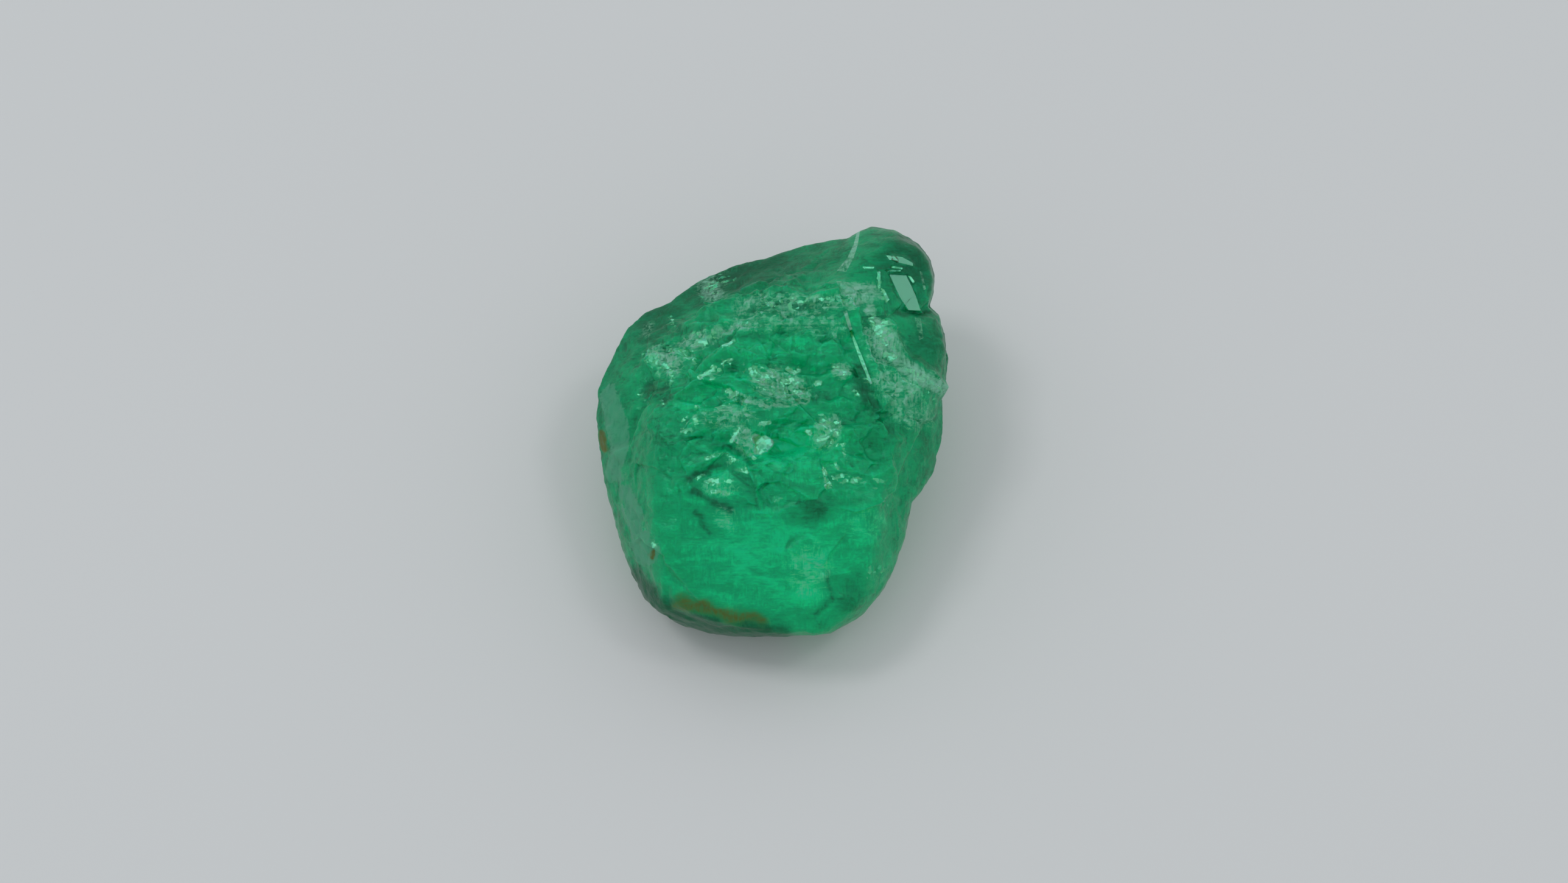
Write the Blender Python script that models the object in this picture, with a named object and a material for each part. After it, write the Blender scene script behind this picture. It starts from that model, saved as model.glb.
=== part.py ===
"""A rough, uncut green gem crystal: one solid piece of broken crystal that lies on its own flat underside.

Run it with: blender --background --python part.py

The stone is shaped about its own middle, in millimetres, in a face frame: A runs across the broad face to the
right, B runs up it from foot to head, and C points out of it. The broad face then leans towards the front, and
the stone is set down with its rest face on z = 0 and its bounding box centred on the origin.
"""

import math

import bmesh
import bpy
import numpy as np
from mathutils import Matrix, Vector, noise

MM = 0.001

# Driving dimensions, in millimetres where the name says nothing else.
FACE_LEAN = math.radians(30.0)  # the broad face's normal leans this far from straight up, towards the front
CROWN_DEPTH = 4.7  # from the rim's middle out to the broad face
KEEL_DEPTH = 6.2  # from the rim's middle down to the keel, before the rest face is cut
RIM_SINK = 0.25  # the widest line of the stone drops by this much for each millimetre towards the head
PILLOW_POWER = 2.6  # 2 would make the sides round like an ellipsoid; more makes them stand up squarely
REST_DEPTH = 3.7  # the rest face lies this far under the middle of the rim
WORN_EDGE = 0.16  # how far the wear of the edges between faces reaches
FINE_LEVEL = 7  # subdivisions of the starting sphere: about 0.13 mm between its points
KEPT_SHARE = 0.112  # the share of the sphere's 81,920 triangles that stays in the solid

# The widest line of the stone, looking straight onto the broad face: (A, B), anticlockwise from the right.
RIM = [
    (6.46, 0.00), (6.44, 1.30), (6.60, 1.95), (6.66, 2.75), (6.58, 3.62), (6.40, 4.45), (6.04, 4.83),
    (6.18, 5.28), (6.24, 5.95), (6.08, 6.62), (5.60, 7.28), (4.68, 7.76), (3.80, 7.88), (3.40, 7.72),
    (2.95, 7.44), (2.00, 7.30), (0.52, 6.90), (-0.24, 6.62), (-1.42, 6.40), (-2.20, 6.12), (-3.06, 5.62),
    (-3.80, 4.96), (-4.40, 4.76), (-5.02, 4.44), (-5.90, 3.48), (-6.58, 2.76), (-6.66, 2.00), (-6.48, 1.24),
    (-6.62, 0.54), (-6.48, 0.10), (-6.22, -1.66), (-5.96, -2.82), (-5.62, -4.00), (-5.20, -5.12),
    (-4.72, -6.04), (-4.08, -6.66), (-3.05, -7.18), (-1.70, -7.48), (-0.22, -7.52), (1.13, -7.42),
    (2.18, -7.36), (3.20, -6.84), (3.84, -6.22), (4.32, -5.50), (4.74, -4.56), (5.12, -3.24),
    (5.28, -2.60), (5.64, -2.18), (6.04, -1.52), (6.20, -0.90),
]

# Natural faces that break the pillow's rounding: a point on each face and the way it looks, both as (A, B, C).
FACES = {
    "front wall": ((-2.2, -7.50, 1.9), (-0.29, -0.885, 0.36)),
    "left prism face": ((-6.60, 0.6, 0.0), (-0.90, 0.02, 0.44)),
    "left foot face": ((-5.85, -3.5, 0.9), (-0.87, -0.22, 0.44)),
    "head slope": ((-1.40, 6.4, -1.5), (-0.30, 0.74, 0.60)),
    "left shoulder": ((-5.95, 3.8, -0.9), (-0.64, 0.46, 0.62)),
    "right cheek": ((6.80, 0.0, 0.0), (0.84, -0.12, 0.53)),
    "right foot face": ((5.55, -4.1, 1.0), (0.86, -0.26, 0.44)),
    "right toe": ((3.90, -7.0, 1.7), (0.56, -0.68, 0.47)),
    "crown": ((0.0, 1.2, 3.85), (0.03, 0.12, 0.99)),
    "milky front": ((0.0, -3.4, 4.25), (0.05, -0.15, 0.99)),
    "knob top": ((5.2, 6.2, 0.75), (0.34, 0.30, 0.89)),
    "back of the head": ((-1.40, 6.5, -1.8), (-0.46, 0.78, -0.43)),
    "back of the knob": ((4.40, 7.8, -2.2), (0.16, 0.88, -0.45)),
    "back corner": ((0.8, 6.2, -4.2), (-0.05, 0.72, -0.69)),
    "left under face": ((-6.55, 0.0, -0.6), (-0.78, 0.22, -0.59)),
    "left foot under face": ((-5.60, -4.4, 0.7), (-0.70, -0.42, -0.58)),
    "right under face": ((6.80, 1.5, -0.9), (0.80, -0.10, -0.59)),
    "right shoulder under face": ((6.10, 5.6, -1.9), (0.86, 0.26, -0.44)),
    "right foot under face": ((5.45, -3.8, 0.6), (0.70, -0.40, -0.59)),
    "front under face": ((0.8, -7.60, 1.3), (0.16, -0.90, -0.41)),
}

# Shell-shaped hollows where chips broke off: the centre (A, B, C) and the radii (A, B, C) of each one's ball.
HOLLOWS = {
    "glassy hollow below the knob": ((6.75, 3.20, 4.05), (2.25, 1.55, 2.50)),
    "notch beside the knob": ((6.30, 4.72, 1.70), (1.50, 0.30, 1.30)),
    "long trough across the crown": ((0.30, 3.05, 5.20), (3.40, 0.70, 1.75)),
    "left trough": ((-3.00, 1.60, 5.20), (1.90, 0.85, 1.85)),
    "middle dish": ((1.20, -0.30, 5.80), (2.40, 1.10, 2.20)),
    "right dish": ((4.10, -0.60, 4.90), (1.30, 1.20, 1.80)),
    "low right dish": ((2.60, -5.20, 6.20), (1.60, 1.20, 2.20)),
    "back chip": ((-2.50, 8.60, -3.60), (3.00, 2.00, 2.00)),
    "right under chip": ((7.40, -0.50, -3.20), (1.80, 2.60, 2.00)),
}

# Level shelves where the crystal parted: the corners (A, B) of each one, clockwise, the height C of its middle
# and its rise along A and along B.
STEPS = {
    "bright window on the knob": ([(4.47, 6.00), (5.24, 5.94), (5.68, 4.62), (5.16, 4.66)], 0.86, -0.24, -0.22),
    "upper sill of the knob": ([(4.10, 6.86), (5.38, 6.50), (5.34, 6.20), (4.06, 6.46)], 0.72, -0.20, -0.34),
    "shelf below the knob": ([(4.50, 4.60), (5.90, 4.56), (5.80, 3.90), (4.60, 4.00)], 0.90, -0.42, 0.15),
    "arrowhead": ([(-3.20, -1.95), (-1.72, -0.85), (-0.35, -2.85)], 4.06, 0.02, -0.36),
    "wedge beside the blade": ([(2.95, 2.55), (3.60, 2.25), (4.15, 0.75), (3.70, 0.85)], 2.95, -0.25, -0.05),
}
STEP_WALL = 0.26  # the width over which a step's edge falls to its level

# Raised edges left between chips: the points (A, B) that each follows, its height and its half width.
RIDGES = {
    "blade": ([(2.83, 4.60), (3.20, 3.60), (3.73, 1.98)], 0.30, 0.26),
    "pale ridge": ([(3.84, 4.35), (4.60, 2.95), (5.40, 2.20), (6.35, 1.66)], 0.28, 0.40),
    "arrowhead, left edge": ([(-3.30, -1.80), (-2.55, -1.15), (-1.72, -0.75)], 0.20, 0.30),
    "arrowhead, right edge": ([(-1.72, -0.75), (-0.90, -1.50), (-0.30, -2.75)], 0.20, 0.30),
    "head ledge": ([(-2.20, 4.25), (-0.20, 4.85), (1.60, 4.75), (3.00, 4.95)], 0.26, 0.40),
    "middle ledge": ([(-2.75, 2.20), (-1.40, 2.75), (0.60, 2.05), (2.60, 2.10)], 0.28, 0.36),
}

# Broken, hackly ground on the broad face: its middle (A, B) and how far it reaches (A, B).
HACKLY_MIDDLE = (0.3, 1.6)
HACKLY_REACH = (5.3, 4.7)
GLASSY_MIDDLE = (5.6, 3.2)  # the hollow that stays smooth within it
GLASSY_REACH = (1.3, 1.5)
HACKLE_SIZE = 0.95  # width of one broken facet
HACKLE_TILT = 0.42  # the steepest a facet leans, as rise over run
CALM_SHARE = 0.15  # how much of the hackly relief the smoother faces keep
SLAB_SIZE = 3.3  # width of the broad, barely leaning facets that cover the whole stone
SLAB_TILT = 0.15
RIM_CALM = (0.05, 0.45)  # the slabs fade in between these slopes away from the rim, and so leave the outline
FACET_STRETCH = 1.5  # facets are this much longer across the face than up it
FACET_STEP = 1.1  # how steeply one facet steps down to the next, as rise over run
CELL_SCATTER = 7.3  # spreads neighbouring facets' middles, so that each draws a lean of its own
LUMP_SIZE = 3.2  # width of the gentle swellings that cover the whole stone
LUMP_HEIGHT = 0.13

GREEN = (0.010, 0.290, 0.115, 1.0)
ROUGHNESS = 0.22
REFRACTIVE_INDEX = 1.58


def clear_scene():
    for old in list(bpy.data.objects):
        bpy.data.objects.remove(old, do_unlink=True)


def soft_min(first, second, reach):
    """The lower of two distances, with the corner between them worn round over reach."""
    overlap = np.maximum(reach - np.abs(first - second), 0.0)
    return np.minimum(first, second) - overlap**2 / (4.0 * reach)


def smooth_step(low, high, value):
    share = np.clip((value - low) / (high - low), 0.0, 1.0)
    return share * share * (3.0 - 2.0 * share)


def pillow_distance(ways):
    """How far the rounded body reaches along each way, a unit vector in the face frame."""
    bearings = np.arctan2(ways[:, 1], ways[:, 0])
    rim = np.array(RIM)
    rim_bearings = np.unwrap(np.arctan2(rim[:, 1], rim[:, 0]))
    outline = np.interp(bearings, rim_bearings, np.hypot(rim[:, 0], rim[:, 1]), period=2.0 * math.pi)
    across = np.hypot(ways[:, 0], ways[:, 1])
    out = ways[:, 2] + RIM_SINK * ways[:, 1]
    depth = np.where(out > 0.0, CROWN_DEPTH, KEEL_DEPTH)
    powers = (across / outline) ** PILLOW_POWER + (np.abs(out) / depth) ** PILLOW_POWER
    return powers ** (-1.0 / PILLOW_POWER)


def face_distance(ways, point, normal):
    """How far it is along each way to a flat face, or far away where the way never meets it."""
    normal = np.array(normal) / np.linalg.norm(normal)
    facing = ways @ normal
    return np.where(facing > 1e-6, np.dot(point, normal) / np.maximum(facing, 1e-6), 1e3)


def hollow_distance(ways, centre, radii):
    """How far it is along each way to a hollow's ball, or far away where the way misses it."""
    scaled = ways / radii
    middle = np.array(centre) / radii
    a = (scaled**2).sum(axis=1)
    b = scaled @ middle
    inside = b**2 - a * (middle @ middle - 1.0)
    return np.where((inside > 0.0) & (b > 0.0), (b - np.sqrt(np.maximum(inside, 0.0))) / a, 1e3)


def ridge_relief(points, route, height, half_width):
    """A raised edge of triangular section along a route on the broad face."""
    flat = points[:, :2]
    nearest = np.full(len(flat), np.inf)
    for start, end in zip(np.array(route[:-1]), np.array(route[1:])):
        run = end - start
        share = np.clip((flat - start) @ run / (run @ run), 0.0, 1.0)
        nearest = np.minimum(nearest, np.linalg.norm(flat - start - share[:, None] * run, axis=1))
    return np.where(points[:, 2] > 0.0, height * np.maximum(1.0 - nearest / half_width, 0.0), 0.0)


def cleave_step(points, corners, height, rise_a, rise_b):
    """Levels what stands above a sloping shelf, inside the step's corners, which run clockwise."""
    flat = points[:, :2]
    inside = np.full(len(flat), np.inf)
    for start, end in zip(corners, np.roll(corners, -1, axis=0)):
        run = (end - start) / np.linalg.norm(end - start)
        inside = np.minimum(inside, (flat - start) @ (run[1], -run[0]))
    shelf = height + (flat - corners.mean(axis=0)) @ (rise_a, rise_b)
    above = np.maximum(points[:, 2] - shelf, 0.0) * (points[:, 2] > 0.0)
    levelled = points.copy()
    levelled[:, 2] -= above * smooth_step(0.0, STEP_WALL, inside)
    return levelled


def facet_relief(points, size, tilt):
    """Flat facets that each lean their own way, as a brittle crystal breaks, with steep steps between them."""
    relief = np.empty(len(points))
    for index, point in enumerate(points / (size * FACET_STRETCH, size, size)):
        place = Vector(point)
        distances, middles = noise.voronoi(place)
        heights = []
        for distance, middle in zip(distances, middles):
            lean = noise.cell_vector(middle * CELL_SCATTER) - Vector((0.5, 0.5, 0.5))
            step_down = FACET_STEP * (distance - distances[0])
            heights.append(2.0 * tilt * (place - middle).dot(lean) - step_down)
        relief[index] = size * max(heights)
    return relief


def lump_relief(points):
    return np.array([LUMP_HEIGHT * noise.fractal(Vector(p) / LUMP_SIZE, 1.0, 2.0, 3) for p in points])


def hackly_share(points):
    """1 on the broken ground of the broad face, falling to CALM_SHARE on the smooth faces around it."""
    away = np.hypot(*((points[:, axis] - HACKLY_MIDDLE[axis]) / HACKLY_REACH[axis] for axis in (0, 1)))
    glassy = np.hypot(*((points[:, axis] - GLASSY_MIDDLE[axis]) / GLASSY_REACH[axis] for axis in (0, 1)))
    share = (1.0 - smooth_step(0.75, 1.1, away)) * smooth_step(0.8, 1.1, glassy) * (points[:, 2] > 0.0)
    return CALM_SHARE + (1.0 - CALM_SHARE) * share


def stone_points(ways):
    """The points of the whole stone in the face frame, one along each way from its middle."""
    reach = pillow_distance(ways)
    for point, normal in FACES.values():
        reach = soft_min(reach, face_distance(ways, point, normal), WORN_EDGE)
    for centre, radii in HOLLOWS.values():
        reach = soft_min(reach, hollow_distance(ways, centre, radii), WORN_EDGE)
    points = ways * reach[:, None]
    off_rim = smooth_step(*RIM_CALM, np.abs(ways[:, 2] + RIM_SINK * ways[:, 1]))
    relief = hackly_share(points) * facet_relief(points, HACKLE_SIZE, HACKLE_TILT)
    relief += off_rim * (facet_relief(points, SLAB_SIZE, SLAB_TILT) + lump_relief(points))
    for route, height, half_width in RIDGES.values():
        relief += ridge_relief(points, route, height, half_width)
    points = points + ways * relief[:, None]
    for corners, height, rise_a, rise_b in STEPS.values():
        points = cleave_step(points, np.array(corners), height, rise_a, rise_b)
    return points


def cut_rest_face(body, height):
    """Cuts the mesh off flat at this height and closes the cut with one level face."""
    cut = bmesh.ops.bisect_plane(
        body,
        geom=body.verts[:] + body.edges[:] + body.faces[:],
        plane_co=(0.0, 0.0, height),
        plane_no=(0.0, 0.0, 1.0),
        clear_inner=True,
    )
    edges = [part for part in cut["geom_cut"] if isinstance(part, bmesh.types.BMEdge)]
    bmesh.ops.contextual_create(body, geom=edges)
    bmesh.ops.recalc_face_normals(body, faces=body.faces[:])


def decimated(obj, share):
    """The object's mesh with this share of its triangles, densest where the surface turns most."""
    modifier = obj.modifiers.new("fewer triangles", "DECIMATE")
    modifier.ratio = share
    bpy.context.view_layer.update()
    evaluated = obj.evaluated_get(bpy.context.evaluated_depsgraph_get())
    mesh = bpy.data.meshes.new_from_object(evaluated)
    obj.modifiers.clear()
    return mesh


def crystal_material():
    material = bpy.data.materials.new("green crystal")
    material.use_nodes = True
    shader = material.node_tree.nodes["Principled BSDF"]
    shader.inputs["Base Color"].default_value = GREEN
    shader.inputs["Roughness"].default_value = ROUGHNESS
    shader.inputs["Metallic"].default_value = 0.0
    shader.inputs["IOR"].default_value = REFRACTIVE_INDEX
    return material


def gemstone(collection):
    """A sphere whose points move out to the stone's surface, thinned, leant over, cut flat and set down."""
    ball = bmesh.new()
    bmesh.ops.create_icosphere(ball, subdivisions=FINE_LEVEL, radius=1.0)
    mesh = bpy.data.meshes.new("gemstone")
    ball.to_mesh(mesh)
    ball.free()
    ways = np.empty(len(mesh.vertices) * 3)
    mesh.vertices.foreach_get("co", ways)
    points = stone_points(ways.reshape(-1, 3))
    mesh.vertices.foreach_set("co", points.ravel())
    stone = bpy.data.objects.new("gemstone", mesh)
    collection.objects.link(stone)
    stone.data = decimated(stone, KEPT_SHARE)

    body = bmesh.new()
    body.from_mesh(stone.data)
    body.transform(Matrix.Rotation(FACE_LEAN, 4, "X"))
    cut_rest_face(body, -REST_DEPTH)
    corners = np.array([vertex.co for vertex in body.verts])
    middle = (corners.min(axis=0) + corners.max(axis=0)) / 2.0
    body.transform(Matrix.Scale(MM, 4) @ Matrix.Translation((-middle[0], -middle[1], REST_DEPTH)))
    body.to_mesh(stone.data)
    body.free()
    stone.data.materials.clear()
    stone.data.materials.append(crystal_material())
    return stone


def main():
    clear_scene()
    collection = bpy.data.collections.new("rough gemstone")
    bpy.context.scene.collection.children.link(collection)
    gemstone(collection)


main()
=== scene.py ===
"""Dresses the rough gemstone: its finely broken see-through surface, the sheet under it, light and camera.

The stone is shaped as its solid is, in millimetres about its own middle, in a face frame: A runs across the
broad face to the right, B runs up it from foot to head, and C points out of it. Chips and growth lines that
the solid leaves out are then added, and the masks that say where it is frosted or stained, and where glow,
shade and highlights are painted into its colour.
"""

import math

import bmesh
import bpy
import numpy as np
from mathutils import Matrix, Vector, noise


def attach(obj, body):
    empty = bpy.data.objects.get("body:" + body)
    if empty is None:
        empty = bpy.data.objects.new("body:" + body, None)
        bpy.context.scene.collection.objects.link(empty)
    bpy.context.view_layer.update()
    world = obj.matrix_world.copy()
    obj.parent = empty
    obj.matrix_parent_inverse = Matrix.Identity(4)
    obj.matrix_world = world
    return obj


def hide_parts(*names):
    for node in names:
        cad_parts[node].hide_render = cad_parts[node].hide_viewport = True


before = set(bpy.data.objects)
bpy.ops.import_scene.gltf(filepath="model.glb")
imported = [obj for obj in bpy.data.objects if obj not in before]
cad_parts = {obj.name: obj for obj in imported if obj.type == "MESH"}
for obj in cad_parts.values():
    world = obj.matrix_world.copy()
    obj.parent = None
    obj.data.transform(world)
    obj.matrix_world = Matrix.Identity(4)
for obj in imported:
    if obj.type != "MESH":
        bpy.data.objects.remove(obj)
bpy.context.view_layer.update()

NODE = "gemstone"
MM = 0.001
FAR = 1e3  # further out than the stone reaches
EDGE_ON = 1e-6  # a way that meets a face at less than this never reaches it

# The stone's main shape, as its solid has it. Millimetres where the name says nothing else.
FACE_LEAN = math.radians(30.0)
CROWN_DEPTH = 4.7
KEEL_DEPTH = 6.2
RIM_SINK = 0.25
PILLOW_POWER = 2.6
REST_DEPTH = 3.7
WORN_EDGE = 0.16  # how far the corner between two faces is worn round, at the rim
SOFT_EDGE = 1.3  # and away from it, on the broad face and the sides

RIM = [
    (6.46, 0.0), (6.44, 1.3), (6.6, 1.95), (6.66, 2.75), (6.58, 3.62), (6.4, 4.45), (6.04, 4.83),
    (6.18, 5.28), (6.24, 5.95), (6.08, 6.62), (5.6, 7.28), (4.68, 7.76), (3.8, 7.88), (3.4, 7.72),
    (2.95, 7.44), (2.0, 7.3), (0.52, 6.9), (-0.24, 6.62), (-1.42, 6.4), (-2.2, 6.12), (-3.06, 5.62),
    (-3.8, 4.96), (-4.4, 4.76), (-5.02, 4.44), (-5.9, 3.48), (-6.58, 2.76), (-6.66, 2.0), (-6.48, 1.24),
    (-6.62, 0.54), (-6.48, 0.1), (-6.22, -1.66), (-5.96, -2.82), (-5.62, -4.0), (-5.2, -5.12),
    (-4.72, -6.04), (-4.08, -6.66), (-3.05, -7.18), (-1.7, -7.48), (-0.22, -7.52), (1.13, -7.42),
    (2.18, -7.36), (3.2, -6.84), (3.84, -6.22), (4.32, -5.5), (4.74, -4.56), (5.12, -3.24),
    (5.28, -2.6), (5.64, -2.18), (6.04, -1.52), (6.2, -0.9),
]

# Natural faces that flatten the pillow: a point on each face and the way it looks, both as (A, B, C).
FACES = {
    "front wall": ((-2.2, -7.5, 1.9), (-0.29, -0.885, 0.36)),
    "left prism face": ((-6.6, 0.6, 0.0), (-0.9, 0.02, 0.44)),
    "left foot face": ((-5.85, -3.5, 0.9), (-0.87, -0.22, 0.44)),
    "head slope": ((-1.4, 6.4, -1.5), (-0.3, 0.74, 0.6)),
    "left shoulder": ((-5.95, 3.8, -0.9), (-0.64, 0.46, 0.62)),
    "right cheek": ((6.8, 0.0, 0.0), (0.84, -0.12, 0.53)),
    "right foot face": ((5.55, -4.1, 1.0), (0.86, -0.26, 0.44)),
    "right toe": ((3.9, -7.0, 1.7), (0.56, -0.68, 0.47)),
    "crown": ((0.0, 1.2, 3.85), (0.03, 0.12, 0.99)),
    "milky front": ((0.0, -3.4, 4.25), (0.05, -0.15, 0.99)),
    "knob top": ((5.2, 6.2, 0.75), (0.34, 0.3, 0.89)),
    "back of the head": ((-1.4, 6.5, -1.8), (-0.46, 0.78, -0.43)),
    "back of the knob": ((4.4, 7.8, -2.2), (0.16, 0.88, -0.45)),
    "back corner": ((0.8, 6.2, -4.2), (-0.05, 0.72, -0.69)),
    "left under face": ((-6.55, 0.0, -0.6), (-0.78, 0.22, -0.59)),
    "left foot under face": ((-5.6, -4.4, 0.7), (-0.7, -0.42, -0.58)),
    "right under face": ((6.8, 1.5, -0.9), (0.8, -0.1, -0.59)),
    "right shoulder under face": ((6.1, 5.6, -1.9), (0.86, 0.26, -0.44)),
    "right foot under face": ((5.45, -3.8, 0.6), (0.7, -0.4, -0.59)),
    "front under face": ((0.8, -7.6, 1.3), (0.16, -0.9, -0.41)),
}

# Shell-shaped hollows where chips broke off: the centre (A, B, C) and the radii (A, B, C) of each one's ball.
HOLLOWS = {
    "glassy hollow below the knob": ((6.75, 3.2, 4.05), (2.25, 1.55, 2.5)),
    "notch beside the knob": ((6.3, 4.72, 1.7), (1.5, 0.3, 1.3)),
    "long trough across the crown": ((0.3, 3.05, 5.2), (3.4, 0.7, 1.75)),
    "left trough": ((-3.0, 1.6, 5.2), (1.9, 0.85, 1.85)),
    "middle dish": ((1.2, -0.3, 5.8), (2.4, 1.1, 2.2)),
    "right dish": ((4.1, -0.6, 4.9), (1.3, 1.2, 1.8)),
    "low right dish": ((2.6, -5.2, 6.2), (1.6, 1.2, 2.2)),
    "back chip": ((-2.5, 8.6, -3.6), (3.0, 2.0, 2.0)),
    "right under chip": ((7.4, -0.5, -3.2), (1.8, 2.6, 2.0)),
}

# Flat shelves where the crystal parted: the corners (A, B) of each one, clockwise, the height C of its
# middle, its rise along A and along B, and whether it also fills what lies below it.
STEPS = {
    "bright window on the knob": (
        [(4.35, 6.0), (5.16, 5.97), (5.74, 4.48), (5.08, 4.5), (4.6, 5.2)], 0.98, -0.24, -0.22, True),
    "upper sill of the knob": (
        [(4.24, 6.74), (5.05, 6.66), (5.43, 6.4), (5.41, 6.16), (4.4, 6.4)], 0.8, -0.24, -0.24, True),
    "arrowhead": (
        [(-3.0, -1.88), (-1.6, -0.62), (-0.84, -1.08), (-0.5, -2.03), (-0.42, -2.66), (-1.43, -2.9)],
        4.22, 0.02, -0.14, False),
    "wedge beside the blade": (
        [(2.95, 2.55), (3.6, 2.25), (4.15, 0.75), (3.7, 0.85)], 2.95, -0.25, -0.05, True),
    "star": (
        [(-0.66, -0.18), (-0.3, 0.04), (0.04, -0.14), (0.18, -0.44), (-0.1, -0.8), (-0.54, -0.82)],
        3.9, 0.28, -0.31, True),
}
STEP_WALL = 0.08  # the width over which a shelf's edge falls to its level
WINDOW_WAY = Vector((0.24, 0.22, 1.0)).normalized()  # the way that the window and the sill look

# Raised edges left between chips: the points (A, B) that each follows, its height and its half width.
RIDGES = {
    "blade": ([(2.83, 4.6), (3.2, 3.6), (3.73, 1.98)], 0.3, 0.26),
    "pale ridge": ([(3.84, 4.35), (4.6, 2.95), (5.4, 2.2), (6.35, 1.66)], 0.28, 0.4),
    "arrowhead, left edge": ([(-3.3, -1.8), (-2.55, -1.15), (-1.72, -0.75)], 0.2, 0.3),
    "arrowhead, right edge": ([(-1.72, -0.75), (-0.9, -1.5), (-0.3, -2.75)], 0.2, 0.3),
    "head ledge": ([(-2.2, 4.25), (-0.2, 4.85), (1.6, 4.75), (3.0, 4.95)], 0.26, 0.4),
    "middle ledge": ([(-2.75, 2.2), (-1.4, 2.75), (0.6, 2.05), (2.6, 2.1)], 0.28, 0.36),
}

# Broken, hackly ground on the broad face: its middle (A, B) and how far it reaches (A, B).
HACKLY_MIDDLE = (0.3, 1.6)
HACKLY_REACH = (5.3, 4.7)
GLASSY_MIDDLE = (5.6, 3.2)  # the hollow that stays smooth within it
GLASSY_REACH = (1.3, 1.5)
HACKLY_EDGE = (0.75, 1.1)  # the broken ground ends between these shares of its reach
GLASSY_EDGE = (0.8, 1.1)
CALM_SHARE = 0.15  # how much of the hackly relief the smoother faces keep
# Broken facets: their width, and the steepest that one leans, as rise over run.
HACKLES = (0.95, 0.42)
SLABS = (3.3, 0.11)  # broad ones that barely lean, over the whole stone
RIM_CALM = (0.05, 0.45)  # the slabs fade in between these slopes away from the rim, and so leave the outline
FACET_STRETCH = 1.5  # facets are this much longer across the face than up it
FACET_STEP = 1.1  # how steeply one facet steps down to the next, as rise over run
CELL_SCATTER = 7.3  # spreads neighbouring facets' middles, so that each draws a lean of its own
LUMP_SIZE = 3.2  # width of the gentle swellings that cover the whole stone
LUMP_HEIGHT = 0.13
OCTAVE_STEP = 2.0  # each finer layer of a swelling is this much finer
# Finer breakage than the solid carries
SPLINTERS = (0.4, 0.32)
SPALLS = (0.2, 0.32)  # the smallest, where the crystal glitters
CALM_SPLINTERS = 0.25  # the share of the splinters that the smooth faces keep
GROWTH_PITCH = 0.3  # spacing of the growth lines across the head and down the right side
GROWTH_HEIGHT = 0.008
GROWTH_LEAN = 0.35  # the lines' sheets lean by this much
GROWTH_WANDER = 0.4  # and wander over this distance
GROWTH_HEAD = (4.8, 5.8)  # the lines fade in between these points up the face (B)
GROWTH_RIGHT = (4.6, 5.6)  # and across it (A)
WAX_SIZE = 0.7  # width of the faint unevenness of every face
WAX_HEIGHT = 0.022
SKIN_LEVEL = 8  # subdivisions of the starting sphere: about 0.06 mm between its points
SKIN_SHARE = 0.56  # the share of its 327,680 triangles that stays

# Where the look of the broad face changes: the marks of each place on it. A spot has its middle (A, B), its
# reach (A, B), its turn in degrees anticlockwise and its strength. A stroke has the points (A, B) that it
# follows, its half width and its strength. The gleaming ones are single flakes, and the others fade softly.
FROSTED = {
    "beside the blade": [
        ((4.15, 3.4), (0.75, 1.3), 25, 0.7),
        ((4.7, 1.6), (1.2, 0.75), -25, 0.55),
        ((2.6, 2.3), (0.4, 0.35), -30, 0.6),
    ],
    "pale ridge": [([(3.72, 4.45), (4.05, 3.6), (4.55, 2.8), (5.35, 2.2), (6.45, 1.62)], 0.34, 0.8)],
    "head": [
        ((3.35, 5.2), (0.95, 0.45), -5, 0.7),
        ((-2.3, 5.5), (0.6, 0.7), 35, 0.6),
        ([(-1.1, 4.72), (0.6, 4.9), (1.9, 4.72), (3.0, 4.9)], 0.4, 0.36),
        ([(-1.1, 4.1), (0.6, 4.2), (2.5, 3.85)], 0.5, 0.32),
        ([(-2.1, 3.85), (-1.4, 3.8), (-0.8, 3.95)], 0.16, 0.6),
    ],
    "left shoulder": [
        ((-3.9, 2.75), (0.9, 0.55), -40, 0.6),
        ((-2.7, 3.45), (1.2, 0.35), 10, 0.55),
        ((-4.6, 3.95), (0.5, 0.25), 45, 0.35),
    ],
    "middle": [
        ((0.35, 1.75), (1.3, 0.65), -15, 0.6),
        ((-1.6, 0.55), (1.3, 0.45), 0, 0.4),
        ([(-1.45, 1.3), (0.1, 1.0), (1.3, 1.3)], 0.22, 0.5),
        ((-0.95, -0.25), (0.4, 0.6), 0, 0.6),
        ((2.1, 0.0), (0.6, 0.85), -35, 0.5),
    ],
    "arrowhead": [
        ((-1.95, -1.95), (0.7, 0.4), -15, 0.4),
        ((-1.6, -3.1), (0.5, 0.5), 0, 0.4),
    ],
    "right cheek": [((5.3, 0.75), (1.1, 0.7), -20, 0.4)],
    "low front": [
        ((1.45, -5.0), (1.0, 1.2), 10, 0.3),
        ((3.9, -5.3), (0.5, 0.3), 20, 0.12),
        ((3.4, -3.3), (0.9, 0.6), 20, 0.15),
    ],
}
WAXY = {
    "upper patch on the left": [([(-6.05, 1.35), (-5.75, 0.4), (-5.65, -0.7), (-5.8, -1.4)], 0.46, 1.0)],
    "lower patch on the left": [
        ([(-5.35, -2.1), (-4.95, -3.3), (-4.75, -4.6)], 0.38, 1.0),
        ((-4.55, -4.2), (0.55, 0.72), 10, 1.0),
    ],
}
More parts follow.
